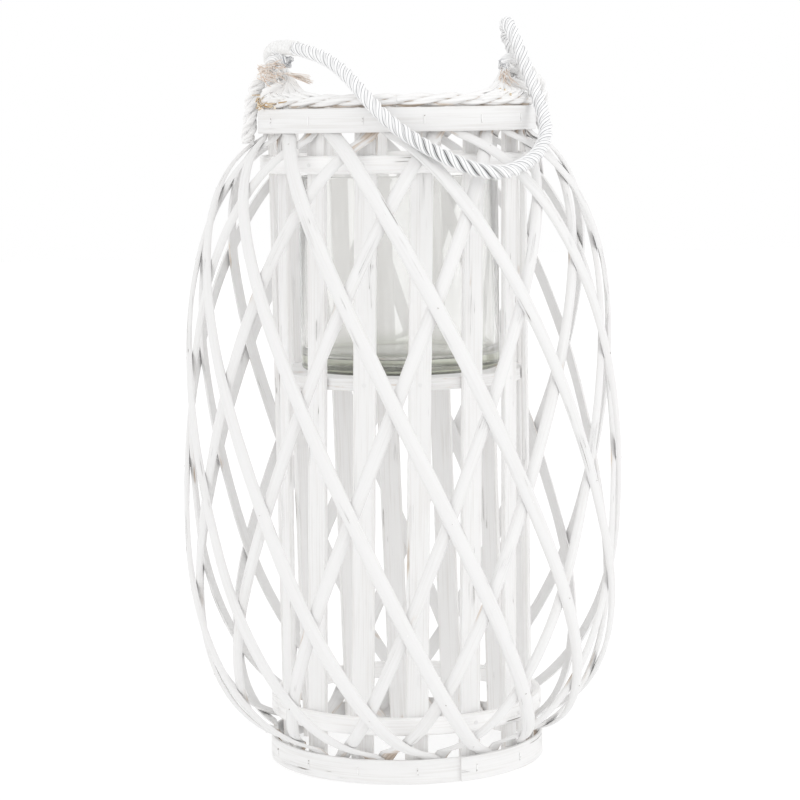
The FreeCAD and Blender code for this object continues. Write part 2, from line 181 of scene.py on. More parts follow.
class Path:
    """A row of places with the directions across and up at each of them."""

    def __init__(self, places, across, up, missed=None):
        self.places = np.array(places, float)
        self.across = np.array(across, float)
        self.up = np.array(up, float)
        self.missed = np.zeros(len(self.places)) if missed is None else np.array(missed, float)
        steps = np.linalg.norm(np.diff(self.places, axis=0), axis=1)
        self.along = np.concatenate([[0.0], np.cumsum(steps)])
        self.length = self.along[-1]

    def at(self, values, along):
        return np.stack([np.interp(along, self.along, values[:, axis]) for axis in range(3)], 1)

    def lay(self, piece, seed):
        """Moves a straight piece onto the path and notes its grain, which the seed shifts."""
        local = points_of(piece.data)
        along = local[:, 2] / local[:, 2].max() * self.length
        laid = self.at(self.places, along)
        laid += self.at(self.across, along) * local[:, :1] + self.at(self.up, along) * local[:, 1:2]
        set_points(piece.data, laid)
        grain = np.stack([local[:, 0], local[:, 1], along + seed], 1)
        attribute = piece.data.attributes.new("grain", "FLOAT_VECTOR", "POINT")
        attribute.data.foreach_set("vector", grain.astype(np.float32).ravel())
        missed = piece.data.attributes.new("missed", "FLOAT", "POINT")
        missed.data.foreach_set("value", np.interp(along, self.along, self.missed).astype(np.float32))
        select_only(piece)
        edit(bpy.ops.mesh.select_all, action="SELECT")
        edit(bpy.ops.mesh.normals_make_consistent, inside=False)
        bpy.ops.object.shade_smooth_by_angle(angle=SMOOTH_ANGLE)
        return piece


# %% Winding paths
def carried(points):
    """A path along points whose directions turn no more than the line does."""
    points = np.array(points, float)
    ahead = headings(points)
    up = np.cross(ahead[0], (1.0, 0.0, 0.0))
    if np.linalg.norm(up) < 0.1:
        up = np.cross(ahead[0], (0.0, 1.0, 0.0))
    ups = []
    for heading in ahead:
        up = up - heading * np.dot(up, heading)
        up = up / np.linalg.norm(up)
        ups.append(up)
    return Path(points, np.cross(np.array(ups), ahead), ups)


def strand_path(core, reach, lay_length, phase):
    """The path of one strand that winds right-handed round a core path at a reach from it."""
    turn = phase + 2 * math.pi * core.along / lay_length
    outwards = np.cos(turn)[:, None] * core.across + np.sin(turn)[:, None] * core.up
    places = core.places + outwards * reach
    ahead = headings(places)
    outwards = unit(outwards - ahead * np.sum(outwards * ahead, 1, keepdims=True))
    return Path(places, np.cross(outwards, ahead), outwards)


def tapered(path, *scales):
    """The same path for a piece that goes from one scale to the next along its way."""
    share = np.linspace(0, 1, len(path.places))
    scale = np.interp(share, np.linspace(0, 1, len(scales)), scales)[:, None]
    return Path(path.places, path.across * scale, path.up * scale)


# %% Joining and dressing
def joined(name, pieces):
    """One object made of all the pieces."""
    select_only(*pieces)
    bpy.ops.object.join()
    whole = bpy.context.object
    whole.name = name
    whole.data.name = name
    return whole


def bundle(name, template, paths, seed):
    """Copies of one straight piece, each laid on its own path and with its own mesh, joined into one."""
    pieces = []
    for count, path in enumerate(paths):
        piece = template.copy()
        piece.data = template.data.copy()
        bpy.context.scene.collection.objects.link(piece)
        pieces.append(path.lay(piece, seed + GRAIN_STEP * count))
    bpy.data.meshes.remove(template.data)
    return joined(name, pieces)


def dress(piece, nodes, finish, body="lantern"):
    """Puts a finished piece on its body in place of its nodes."""
    piece.data.materials.clear()
    piece.data.materials.append(finish)
    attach(piece, body)
    if nodes:
        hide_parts(*nodes)
    return piece


# %% [markdown]
# ## Shader sums
# A finish is a small network of nodes. Wire wraps one socket so that the sums in it read as Python,
# and Finish.node adds any other node: its settings first, then the values or links of its sockets.

# %% Shader sums
class Wire:
    """One output socket, which adds Math nodes when it is used in a sum."""

    def __init__(self, finish, socket):
        self.finish = finish
        self.socket = socket

    def math(self, operation, first, second):
        return self.finish.node("ShaderNodeMath", {"operation": operation}, {0: first, 1: second})

    def __add__(self, other):
        return self.math("ADD", self, other)

    def __sub__(self, other):
        return self.math("SUBTRACT", self, other)

    def __rsub__(self, other):
        return self.math("SUBTRACT", other, self)

    def __mul__(self, other):
        return self.math("MULTIPLY", self, other)

    __radd__ = __add__
    __rmul__ = __mul__

    def __abs__(self):
        return self.math("ABSOLUTE", self, 0.0)

    def sine(self):
        return self.math("SINE", self, 0.0)

    def over(self, low, high):
        """0 below low, 1 above high, and a smooth step between them."""
        sockets = {"Value": self, "From Min": low, "From Max": high}
        return self.finish.node("ShaderNodeMapRange", {"interpolation_type": "SMOOTHSTEP"}, sockets)


# %% Finishes
class Finish:
    """A material in the making."""

    def __init__(self, name):
        self.material = bpy.data.materials.new(name)
        self.material.use_nodes = True
        self.tree = self.material.node_tree
        self.shader = self.tree.nodes["Principled BSDF"]

    def put(self, socket, value):
        if isinstance(value, Wire):
            self.tree.links.new(value.socket, socket)
        elif socket.type == "RGBA":
            socket.default_value = (*value, 1.0)
        else:
            socket.default_value = value

    def node(self, kind, settings, sockets, output=0):
        made = self.tree.nodes.new(kind)
        for name, value in settings.items():
            setattr(made, name, value)
        for key, value in sockets.items():
            self.put(made.inputs[key], value)
        return Wire(self, made.outputs[output])

    def set(self, **values):
        for name, value in values.items():
            self.put(self.shader.inputs[name.replace("_", " ")], value)

    def grain(self):
        """Metres across, through and along the piece."""
        return self.node("ShaderNodeAttribute", {"attribute_name": "grain"}, {}, "Vector")

    def missed(self):
        """How far out of reach of the brush a place lay; on the satin rope, how much painted shade its
        opened grooves take, or how grey a cut end is.
        """
        return self.node("ShaderNodeAttribute", {"attribute_name": "missed"}, {}, "Fac")

    def places(self):
        return self.node("ShaderNodeTexCoord", {}, {}, "Object")

    def noise(self, vector, scale, detail=2.0):
        """Noise with its own number of features a metre in each direction."""
        scaled = self.node("ShaderNodeMapping", {}, {"Vector": vector, "Scale": scale})
        return self.node("ShaderNodeTexNoise", {}, {"Vector": scaled, "Scale": 1.0, "Detail": detail})

    def mix(self, share, first, second):
        return self.node("ShaderNodeMix", {"data_type": "RGBA"}, {0: share, 6: first, 7: second}, 2)

    def bump(self, height, distance, strength=1.0):
        sockets = {"Strength": strength, "Distance": distance, "Height": height}
        return self.node("ShaderNodeBump", {}, sockets)

    def axis(self, vector, name):
        return self.node("ShaderNodeSeparateXYZ", {}, {"Vector": vector}, name)


# %% [markdown]
# ## White-wash
# The wood was brushed with thin white paint. It is smooth on the proud faces, thin over the grain and
# along the edges, and missing in slivers where the brush skipped or couldn't reach, so pale brown wood
# shows there. Hair-thin dark cracks follow the grain. An image would need every cane unwrapped, and
# noise along the grain doesn't. One function makes it, and each kind of part sets how worn it is and
# how white. That whiteness is also painted light and shade: darker on the canes that catch the most
# light, and whiter on the hoops that stand in shade inside.

# %% White-wash
PAINT = (1.0, 0.996, 0.992)
THIN_PAINT = (0.90, 0.885, 0.868)
PALE_WOOD = (0.66, 0.54, 0.43)
BROWN_WOOD = (0.40, 0.28, 0.18)
CRACK = (0.20, 0.17, 0.15)


def shaded(colour, share):
    return tuple(share * value for value in colour)


def white_wash(name, half_width, white, wear=0.0, cracks=0.0, fibre=900.0, streak=0.75):
    """White paint over grain; wear and cracks shift how much bare wood and how many cracks show, and
    streak is how far the paint thins over the fibres. White scales the paint, and also serves as painted
    light and shade, set for how much light each kind of part catches."""
    finish = Finish(name)
    grain = finish.grain()
    edge = abs(finish.axis(grain, "X")).over(0.7 * half_width, 1.03 * half_width)
    missed = finish.missed()
    fine = finish.noise(grain, (fibre, fibre, 18.0), 3.0)
    broad = finish.noise(grain, (170, 170, 9), 3.0)
    cloud = finish.noise(grain, (60, 60, 30))
    thin = (fine * 0.7 + broad * 0.3 + edge * 0.06 + missed * 0.12).over(0.46, 0.68)
    colour = finish.mix(thin * streak, shaded(PAINT, white), shaded(THIN_PAINT, white))
    skipped = (broad * 0.5 + cloud * 0.5 + edge * 0.06 + missed * 0.16).over(0.7 - wear, 0.8 - wear)
    wood = finish.mix(fine.over(0.4, 0.64), PALE_WOOD, BROWN_WOOD)
    colour = finish.mix(skipped * 0.75, colour, wood)
    line = 1.0 - abs(finish.noise(grain, (480, 480, 6), 1.0) - 0.5).over(0.002, 0.007)
    crack = line * finish.noise(grain, (90, 90, 24), 1.0).over(0.62 - cracks, 0.69 - cracks)
    colour = finish.mix(crack * 0.85, colour, CRACK)
    finish.set(Base_Color=colour, Roughness=0.58 + 0.25 * skipped)
    finish.set(Normal=finish.bump(fine * 0.5 + broad * 0.5 - skipped * 0.3 - crack, 0.5 * MM, 0.8))
    return finish.material


# %% [markdown]
# ## Handle cord
# The handle is a silver-white satin rope of three strands, ten millimetres thick. It leaves the left
# ear, drops over the rim and the front of the shoulder, rises at the right, and folds back over to the
# right ear. Its line is one NURBS curve; the strands wind round points read from it.

# %% Cord route
CORD_DIAMETER = 10 * MM
CORD_LAY = 27.5 * MM
ROUTE_ORDER = 3
ROUTE_STEPS = 24
CORD_ROUTE = [
    (-90, -5, 534.5), (-84, -14, 536), (-76, -31, 535.7), (-63.5, -53.5, 531.7),
    (-51.5, -69, 527), (-41, -82.5, 519.5), (-32, -96, 510.5), (-22.5, -108, 499),
    (-11.5, -113.5, 486), (3, -115.5, 473.5), (20, -122, 462.5), (37.5, -128.5, 453),
    (56, -129, 445.5), (74.5, -120.5, 443), (92, -100.5, 449), (103.5, -77, 458.5),
    (108.5, -60, 470.5), (107.2, -48, 484), (102.7, -38, 499), (96.6, -31.5, 515),
    (91.2, -28, 531), (86.6, -24, 543), (84, -17, 550), (82.5, -7, 552.3),
    (82.5, 2.5, 547.5), (84, 6.3, 540), (88, 7.8, 532.5),
]


def route_path(route):
    """A path along the NURBS curve that has the route, in millimetres, as its control points."""
    curve = bpy.data.curves.new("route", "CURVE")
    curve.dimensions = "3D"
    curve.resolution_u = ROUTE_STEPS
    spline = curve.splines.new("NURBS")
    spline.points.add(len(route) - 1)
    for point, place in zip(spline.points, route):
        point.co = (*(value * MM for value in place), 1.0)
    spline.order_u = ROUTE_ORDER
    spline.use_endpoint_u = True
    holder = bpy.data.objects.new("route", curve)
    mesh = bpy.data.meshes.new_from_object(holder)
    points = points_of(mesh)
    bpy.data.objects.remove(holder)
    bpy.data.curves.remove(curve)
    bpy.data.meshes.remove(mesh)
    return carried(points)


cord_core = route_path(CORD_ROUTE)
print("cord", round(cord_core.length, 4), "m")

# %% [markdown]
# ## Satin strands
# Each strand is a bundle of yarns that run along it side by side, so a strand is modelled as a ridged
# tube, and the fine filaments are left to the bump of its finish. The valleys between the yarns and the
# grooves between the strands stay grey, because the light doesn't reach into them: the grain's x and y
# say where round the strand a point lies and how deep.

# %% Satin strands
STRANDS = 3
STRAND_RADIUS = 0.26
STRAND_REACH = 0.26
STRAND_SIDES = 24
YARNS = 6
YARN_DEPTH = 0.085
DULL_SATIN = (0.86, 0.863, 0.87)
# Painted shade for the yarn valleys, for the grooves between strands and for the opened grooves.
VALLEY_GREY = (0.34, 0.345, 0.36)
GROOVE_GREY = (0.22, 0.225, 0.24)
OPEN_GROOVE_SHADE = (0.02, 0.022, 0.026)
CUT_GREY = (0.16, 0.18, 0.22)


def satin_finish(name, bright, groove_from, shade, cut_grey=0.0):
    """Silver-white filaments; grooves lie below groove_from metres from the strand's middle, and shade is
    how far painted shade greys them and the valleys. The missed marks paint near-black shade into the
    opened grooves, or grey onto a cut end."""
    finish = Finish(name)
    grain = finish.grain()
    filament = finish.noise(grain, (3600, 3600, 90))
    glint = finish.noise(grain, (900, 900, 120), 1.0)
    depth = finish.axis(grain, "Y")
    groove = 1.0 - depth.over(groove_from, groove_from + 1 * MM)
    missed = finish.missed()
    around = depth.math("ARCTAN2", depth, finish.axis(grain, "X"))
    valley = 1.0 - (YARNS * around + filament * 0.8 + 0.5 * math.pi - 0.4).sine().over(-0.95, -0.55)
    colour = finish.mix(filament.over(0.28, 0.5), DULL_SATIN, bright)
    colour = finish.mix(valley * (0.8 * shade), colour, VALLEY_GREY)
    colour = finish.mix(groove * (0.8 * shade), colour, GROOVE_GREY)
    if cut_grey:
        cut = missed * (filament * 0.6 + glint * 0.4).over(0.48, 0.55)
        colour = finish.mix(cut * cut_grey, colour, CUT_GREY)
    else:
        # Painted shade: where the rope bends at the bottom of its drape, its opened grooves are painted
        # near black.
        opened = missed * (1.0 - depth.over(0.4 * MM, 0.85 * MM))
        colour = finish.mix(opened * 0.95, colour, OPEN_GROOVE_SHADE)
    finish.set(Base_Color=colour, Roughness=0.24 + 0.25 * glint)
    finish.set(Sheen_Weight=0.3, Sheen_Roughness=0.3, Normal=finish.bump(filament, 0.4 * MM))
    return finish.material


# %% Strands of a rope
def swollen(piece, swell):
    """Scales a straight round piece about its middle line, by an amount for each vertex."""
    local = points_of(piece.data)
    around = np.arctan2(local[:, 1], local[:, 0])
    local[:, :2] *= 1.0 + swell(around, local[:, 2])[:, None]
    set_points(piece.data, local)
    return piece


def ridged(piece, ridges, depth):
    """Presses low ridges into a round strand, all along it."""
    return swollen(piece, lambda around, z: depth * np.cos(ridges * around))


def rope(name, core, diameter, lay_length, cuts, marks):
    """Three strands round a core path, joined into one rope; marks are pairs of a share of the length
    and how far the strands are marked as missed there: painted shade in the handle's opened grooves, or the
    grey of a cut end."""
    shares, values = zip(*marks)
    thick = 2 * diameter * STRAND_RADIUS
    pieces = []
    for count in range(STRANDS):
        path = strand_path(core, diameter * STRAND_REACH, lay_length, 2 * math.pi * count / STRANDS)
        path.missed = np.interp(path.along / path.length, shares, values)
        strand = stock(f"{name}_{count}", "round", thick, thick, path.length, cuts, STRAND_SIDES)
        ridged(strand, YARNS, YARN_DEPTH)
        pieces.append(path.lay(strand, 0.37 * count))
    return joined(name, pieces)


# %% Handle rope
# Where the handle drapes lowest its grooves open, and there they take painted shade.
SHADED_OPEN_GROOVES = ((0.0, 0.02), (0.35, 0.05), (0.42, 0.95), (0.52, 0.95), (0.56, 0.08), (1.0, 0.02))
satin = satin_finish("satin_cord", (0.99, 0.99, 0.993), -0.7 * MM, 1.0)
handle = rope("handle_rope", cord_core, CORD_DIAMETER, CORD_LAY, (60, 9), SHADED_OPEN_GROOVES)
dress(handle, ["handle_cord"], satin, "handle")
print("handle strands", len(handle.data.polygons), "faces")

# %% [markdown]
# ## Hitches
# At each end the rope goes once round the crown of its ear. At the left it is bound with white thread
# nearly all the way round, and at the right it stays bare. Both end in a short cut tail at the front,
# grey where the filaments were cut. Each is laid on a route of its own, so that it can be set alone.

# %% Hitches
HITCH_DIAMETER = 9 * MM
BOUND_DIAMETER = 11 * MM
THREAD_PITCH = 1.7 * MM
THREAD_RIB = 0.03
LEFT_BOUND = [
    (-93.2, -11.7, 518), (-93.2, -8.3, 509.6), (-93.2, 0, 506.2), (-93.2, 8.3, 509.6),
    (-93.4, 11.7, 518), (-94.5, 8.8, 526.5), (-94.5, 3, 532), (-91.5, -3, 535),
    (-86.5, -10, 536.2), (-81, -20, 536), (-76.5, -29.5, 535.6), (-73, -36.5, 534.6),
]
LEFT_TAIL = [
    (-93.2, -10.5, 512), (-93.8, -13.5, 520), (-91.5, -15.5, 526.5), (-86, -16, 527.2),
    (-81.5, -18, 526.2), (-78.5, -20.5, 525),
]
RIGHT_HITCH = [
    (83.7, 5.5, 541.5), (88.3, 7.7, 533), (92.8, 10, 526), (93.4, 11.7, 518),
    (93.4, 8.3, 509.6), (93.4, 0, 506.2), (93.4, -8.3, 509.6), (93.2, -11.7, 518),
    (91.5, -13.5, 523.5), (87.5, -17, 525.5), (82, -20.5, 524.5), (78.5, -26, 520),
]


def bound(name, core, diameter):
    """A round core wound with thread, so that it is ribbed across."""
    piece = stock(name, "round", diameter, diameter, core.length, (70, 4), STRAND_SIDES)
    swollen(piece, lambda around, z: THREAD_RIB * np.cos(2 * math.pi * z / THREAD_PITCH + around))
    return core.lay(piece, 0.9)


def thread_finish():
    finish = Finish("white_thread")
    yarn = finish.noise(finish.grain(), (500, 500, 1400))
    colour = finish.mix(yarn.over(0.35, 0.65), (0.78, 0.775, 0.765), (0.90, 0.90, 0.895))
    finish.set(Base_Color=colour, Roughness=0.55 + 0.2 * yarn)
    finish.set(Normal=finish.bump(yarn, 0.3 * MM))
    return finish.material


# %% Tied hitches
BOUND_SCALES = (0.82, 0.82, 0.86, 1.0, 1.0)
CUT_TAIL = ((0.0, 0.0), (0.72, 0.0), (0.9, 1.0), (1.0, 1.0))
CUT_KNOT = ((0.0, 0.0), (0.95, 0.0), (1.0, 1.0))
left_bound = bound("left_hitch", tapered(route_path(LEFT_BOUND), *BOUND_SCALES), BOUND_DIAMETER)
dress(left_bound, ["left_cord_eye"], thread_finish(), "handle")
left_tail = rope("left_tail", route_path(LEFT_TAIL), HITCH_DIAMETER, CORD_LAY, (60, 1), CUT_TAIL)
cut_satin = satin_finish("cut_cord", (0.97, 0.97, 0.97), -1.1 * MM, 0.55, cut_grey=0.8)
dress(left_tail, [], cut_satin, "handle")
right_hitch = rope("right_hitch", route_path(RIGHT_HITCH), HITCH_DIAMETER, CORD_LAY, (60, 2), CUT_KNOT)
worn_satin = satin_finish("worn_cord", (0.99, 0.988, 0.985), -1.6 * MM, 0.12, cut_grey=0.7)
dress(right_hitch, ["right_cord_eye"], worn_satin, "handle")

# %% [markdown]
# ## Lattice canes
# The canes are split willow, half round, with their flats to the lantern's axis. They run from band to
# band on the shortest path over the belly, one layer leaning each way. The belly is drawn once, as a
# line from top to bottom, and each cane turns round the axis as it goes down that line.

# %% Belly
CANE_COUNT = 14
CANE_WIDTH = 10.6 * MM
CANE_THICKNESS = 3.8 * MM
CANE_END_THICKNESS = 2 * MM
CANE_TAPER = 60 * MM
LAYER_GAP = 0.4 * MM
LAYER_RADIUS = 99.22 * MM
CANE_TOP = 486.6 * MM
CANE_FOOT = 4 * MM
TOP_BAND_BOTTOM = 473 * MM
BASE_BAND_TOP = 18 * MM
BELLY = (161.9 * MM, 171 * MM)
SHOULDER_ANGLE = math.radians(59.5)
SHOULDER_REACH = 66 * MM
SHOULDER_PULL = 139.4 * MM
FOOT_ANGLE = math.radians(70.0)
FOOT_REACH = 42 * MM
FOOT_PULL = 76.3 * MM
BEND_RADIUS = 5 * MM
BEND_STATIONS = 12
UPPER_STATIONS = 120
LOWER_STATIONS = 90
END_STATIONS = 6
UP = np.array((0.0, 0.0, 1.0))


def outward(angles):
    """Directions away from the axis, at angles in degrees from the front towards the right."""
    turn = np.radians(angles)
    return np.stack([np.sin(turn), -np.cos(turn), np.zeros_like(turn)], -1)


def sideways(angles):
    """Directions round the axis, to the right of someone who faces it."""
    turn = np.radians(angles)
    return np.stack([np.cos(turn), np.sin(turn), np.zeros_like(turn)], -1)


def bezier(poles, count):
    """Points on the cubic curve with these four poles."""
    share = np.linspace(0, 1, count)[:, None]
    weights = ((1 - share) ** 3, 3 * share * (1 - share) ** 2, 3 * share ** 2 * (1 - share), share ** 3)
    return sum(weight * np.array(pole) for weight, pole in zip(weights, poles))


def bend(height, down, angles):
    """Radius and height of a round bend out of a band, which starts at a height."""
    radius = LAYER_RADIUS + BEND_RADIUS * (1 - np.cos(angles))
    return np.stack([radius, height + down * BEND_RADIUS * np.sin(np.abs(angles))], 1)


def belly_line():
    """Radius and height of the surface between the layers, from the canes' tops to their feet."""
    shoulder = bend(TOP_BAND_BOTTOM, -1, np.linspace(0, SHOULDER_ANGLE, BEND_STATIONS))
    foot = bend(BASE_BAND_TOP, 1, np.linspace(FOOT_ANGLE, 0, BEND_STATIONS))
    belly = np.array(BELLY)
    leaving = np.array((math.sin(SHOULDER_ANGLE), -math.cos(SHOULDER_ANGLE)))
    arriving = np.array((math.sin(FOOT_ANGLE), math.cos(FOOT_ANGLE)))
    upper_poles = [shoulder[-1], shoulder[-1] + SHOULDER_REACH * leaving, belly + (0, SHOULDER_PULL), belly]
    lower_poles = [belly, belly - (0, FOOT_PULL), foot[0] + FOOT_REACH * arriving, foot[0]]
    upper = bezier(upper_poles, UPPER_STATIONS)
    lower = bezier(lower_poles, LOWER_STATIONS)
    straight = np.full(END_STATIONS, LAYER_RADIUS)
    top = np.stack([straight, np.linspace(CANE_TOP, TOP_BAND_BOTTOM, END_STATIONS)], 1)
    tail = np.stack([straight, np.linspace(BASE_BAND_TOP, CANE_FOOT, END_STATIONS)], 1)
    return np.concatenate([top, shoulder[1:], upper[1:], lower[1:], foot[1:], tail[1:]])


line = belly_line()
radius, height = line[:, 0], line[:, 1]
steps = np.linalg.norm(np.diff(line, axis=0), axis=1)
travel = np.concatenate([[0.0], np.cumsum(steps)])
heading = unit(np.gradient(line, travel, axis=0))
below_top_band = travel - (CANE_TOP - TOP_BAND_BOTTOM)
above_base_band = travel[-1] - (BASE_BAND_TOP - CANE_FOOT) - travel
free = np.minimum(below_top_band, above_base_band)
swell = np.clip(free / CANE_TAPER, 0, 1)
cane_thickness = CANE_END_THICKNESS + (CANE_THICKNESS - CANE_END_THICKNESS) * swell
print("cane travel", round(travel[-1], 4), "m")

# %% Canes
OUTER = {
    "name": "outer_cane", "direction": 1, "level": 69 * MM, "wider": 1.03, "seed": 0.0, "first": -33.0,
    "strays": (-3, -3, 0, 0.8, 1.5, 1.5, 2, 2.5, 2.5, 3, 3.6, 1.3, 0.3, -0.9),
}
INNER = {
    "name": "inner_cane", "direction": -1, "level": 62 * MM, "wider": 0.94, "seed": 50.0, "first": 19.3,
    "strays": (3.9, 3, 2.8, -3.5, -5.6, -5, -4, -3, -2, -1, -0.5, 0, -1, 1.4),
}
SHADED_REACH = 9 * MM
OUTER_BAND_MISSED = 0.8
INNER_BAND_MISSED = 1.4
CROSSING_MISSED = 0.75
CANE_UNEVEN = 0.04
CANE_WAVER = 0.035
WAVES = ((61, 5, 1.0), (147, 9, 0.6), (333, 3, 0.4))


def cane_turns(layer):
    """Degrees that a cane of the layer has turned about the axis at each place of the belly line."""
    rates = np.tan(np.arcsin(layer["level"] / radius)) / radius
    turned = np.concatenate([[0.0], np.cumsum((rates[1:] + rates[:-1]) / 2 * steps)])
    return layer["direction"] * np.degrees(turned)


def cane_starts(layer):
    """The angles of the canes' tops: evenly spaced, and then each by its own stray."""
    step = 360 / CANE_COUNT
    return [layer["first"] + step * count + stray for count, stray in enumerate(layer["strays"])]


def out_of_reach(layer, start):
    """How far a cane lay out of the brush's reach: near a band or, if inner, under a crossing cane."""
    near_band = np.clip(1 - free / (2 * SHADED_REACH), 0, 1)
    if layer is OUTER:
        return OUTER_BAND_MISSED * near_band
    apart = np.full(len(radius), 1.0)
    for other in cane_starts(OUTER):
        between = start + cane_turns(INNER) - other - cane_turns(OUTER)
        turned = (between + 180) % 360 - 180
        apart = np.minimum(apart, np.radians(np.abs(turned)) * radius)
    crossing = np.clip(1 - (apart - CANE_WIDTH) / SHADED_REACH, 0, 1)
    return np.maximum(INNER_BAND_MISSED * near_band, CROSSING_MISSED * crossing)


def cane_path(layer, start):
    """The path of the back of one cane, on its own side of the surface between the layers."""
    angles = start + cane_turns(layer)
    normal = outward(angles) * -heading[:, 1:2] + UP * heading[:, :1]
    lift = LAYER_GAP / 2 if layer is OUTER else -LAYER_GAP / 2 - cane_thickness
    places = outward(angles) * radius[:, None] + UP * height[:, None]
    places = places + normal * np.reshape(lift, (-1, 1))
    widen = 1 / np.cos(np.arcsin(layer["level"] / radius))
    rise = normal * (cane_thickness / CANE_THICKNESS)[:, None]
    return Path(places, sideways(angles) * widen[:, None], rise, out_of_reach(layer, start))


def wavering(piece, amount, seed):
    """Lets the width of a straight piece waver a little along its length, as split wood does."""
    local = points_of(piece.data)
    waver = sum(size * np.sin(local[:, 2] * rate + seed * shift) for rate, shift, size in WAVES)
    local[:, 0] *= 1 + amount * waver / 2
    set_points(piece.data, local)


# Painted shade: the canes' paint is set darker than the rest, because they catch the most light.
cane_wash = white_wash("painted_cane", CANE_WIDTH / 2, 0.80, wear=-0.01, cracks=-0.01, streak=0.4)
for layer in (OUTER, INNER):
    for count, start in enumerate(cane_starts(layer), 1):
        seed = count + layer["seed"]
        path = cane_path(layer, start)
        width = layer["wider"] * CANE_WIDTH * (1 + CANE_UNEVEN * math.sin(seed * 2.7))
        name = f"{layer['name']}_{count:02d}"
        cane = stock(f"split_{name}", "half_round", width, CANE_THICKNESS, path.length, (90,), 9)
        wavering(cane, CANE_WAVER, seed)
        dress(path.lay(cane, seed * 0.731), [name], cane_wash)
print("canes", 2 * CANE_COUNT)

# %% [markdown]
# ## Slats
# Fourteen upright slats stand inside the lattice. They are sawn poplar, with eased edges that waver.
# They were nailed on by eye, so they stray from even spacing, and all lean a little along the rim. A
# box would do for the shape, but a bar laid on a straight path has its grain too.

# %% Slats
SLAT_COUNT = 14
SLAT_WIDTH = 16 * MM
SLAT_THICKNESS = 4 * MM
SLAT_HEIGHT = 490 * MM
SLAT_FACE = 95.8 * MM
SLAT_LEAN = 6 * MM
SLAT_FIRST = 7.5
SLAT_STRAYS = (0, -0.8, -1.9, -2.6, -2.4, -1.6, -1.1, -0.8, -3.7, -1.9, -2.5, 3.6, 2.7, 1.2)
SLAT_EDGE = 0.8 * MM
SLAT_STATIONS = 60
SLAT_ROUGH = 1.04
SLAT_WAVER = 0.02
BAND_SHADE_FROM = 452 * MM
BAND_SHADE_FADE = 14 * MM
FOOT_SHADE_TO = 48 * MM
UNDER_BAND_MISSED = 0.9
FOOT_MISSED = 0.8

# Painted light: the slats' paint is set whiter than the canes', because they stand in the lattice's shade.
slat_wash = white_wash("painted_slat", SLAT_WIDTH / 2, 0.915, wear=0.01, fibre=700.0)
heights = np.linspace(0, SLAT_HEIGHT, SLAT_STATIONS)
shift = SLAT_LEAN * (2 * heights / SLAT_HEIGHT - 1)
under_band = np.clip((heights - BAND_SHADE_FROM) / BAND_SHADE_FADE, 0, 1)
near_foot = np.clip(1 - heights / FOOT_SHADE_TO, 0, 1)
slat_missed = np.maximum(UNDER_BAND_MISSED * under_band, FOOT_MISSED * near_foot)
for count, stray in enumerate(SLAT_STRAYS):
    angles = np.full(SLAT_STATIONS, SLAT_FIRST + 360 / SLAT_COUNT * count + stray)
    places = outward(angles) * (SLAT_FACE - SLAT_THICKNESS)
    places = places + sideways(angles) * shift[:, None] + UP * heights[:, None]
    path = Path(places, sideways(angles), outward(angles), slat_missed)
    name = f"slat_{count + 1:02d}"
    rough_width = SLAT_ROUGH * SLAT_WIDTH
    slat = stock(f"sawn_{name}", "square", rough_width, SLAT_THICKNESS, path.length, (48,), ease=SLAT_EDGE)
    wavering(slat, SLAT_WAVER, count)
    dress(path.lay(slat, 3.1 + count * 0.617), [name], slat_wash)
print("slats", SLAT_COUNT)

# %% [markdown]
# ## Bands and hoops
# Two thin strips are bent round the ends of the canes, each with its outer end lapped over itself and
# stapled to every slat. Two thicker hoops lie just inside the lattice. A ring can't lap over itself, so
# each strip is one bar on a path of more than a turn.

# %% Bands and hoops
BAND_INNER = 101.62 * MM
BAND_THICKNESS = 2.2 * MM
BAND_EDGE = 0.35 * MM
BAND_WAVER = 0.01
BAND_STATIONS = 220
LAP_STEP = 1.6 * MM
LAP_SPREAD = 34.0
LAP_SETTLE = 12.0
LAP_TIP = 0.05
HOOP_INNER = 97.02 * MM
HOOP_THICKNESS = 6 * MM
HOOP_EDGE = 2 * MM
HOOP_ANGLES = np.linspace(200, -160, 181)


def bent_round(inner, height, angles, scale):
    """A path round the axis at a height; across is up, and the stock's thickness is scaled as it goes."""
    places = outward(angles) * np.reshape(inner, (-1, 1)) + UP * height
    return Path(places, np.tile(UP, (len(angles), 1)), outward(angles) * np.reshape(scale, (-1, 1)))


def bent_band(name, node, lap_angle, seed, finish):
    """One strip, from its thin inner end once round the lantern and over itself to its outer end."""
    low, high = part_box(node)
    angles = np.linspace(lap_angle + LAP_SPREAD, lap_angle - 360, BAND_STATIONS)
    under = np.clip((lap_angle + LAP_SPREAD - angles) / LAP_SPREAD, LAP_TIP, 1)
    over = np.clip((lap_angle + LAP_SPREAD - 360 - angles) / LAP_SPREAD, 0, 1)
    settle = np.clip((lap_angle - angles) / LAP_SETTLE, 0, 1)
    thickness = LAP_STEP * under + (BAND_THICKNESS - LAP_STEP) * settle
    inner = BAND_INNER + LAP_STEP * over
    path = bent_round(inner, (low.z + high.z) / 2, angles, thickness / BAND_THICKNESS)
    strip = stock(name, "square", high.z - low.z, BAND_THICKNESS, path.length, (90, 1), ease=BAND_EDGE)
    wavering(strip, BAND_WAVER, seed)
    return dress(path.lay(strip, seed), [node], finish)


# Painted shade: the bands' paint is set darker, to tone down how brightly they are lit.
band_wash = white_wash("painted_band", 9 * MM, 0.82, wear=-0.02, cracks=-0.02, fibre=800.0)
bent_band("base_strip", "base_band", 22.0, 5.3, band_wash)
bent_band("top_strip", "top_band", 196.0, 8.9, band_wash)
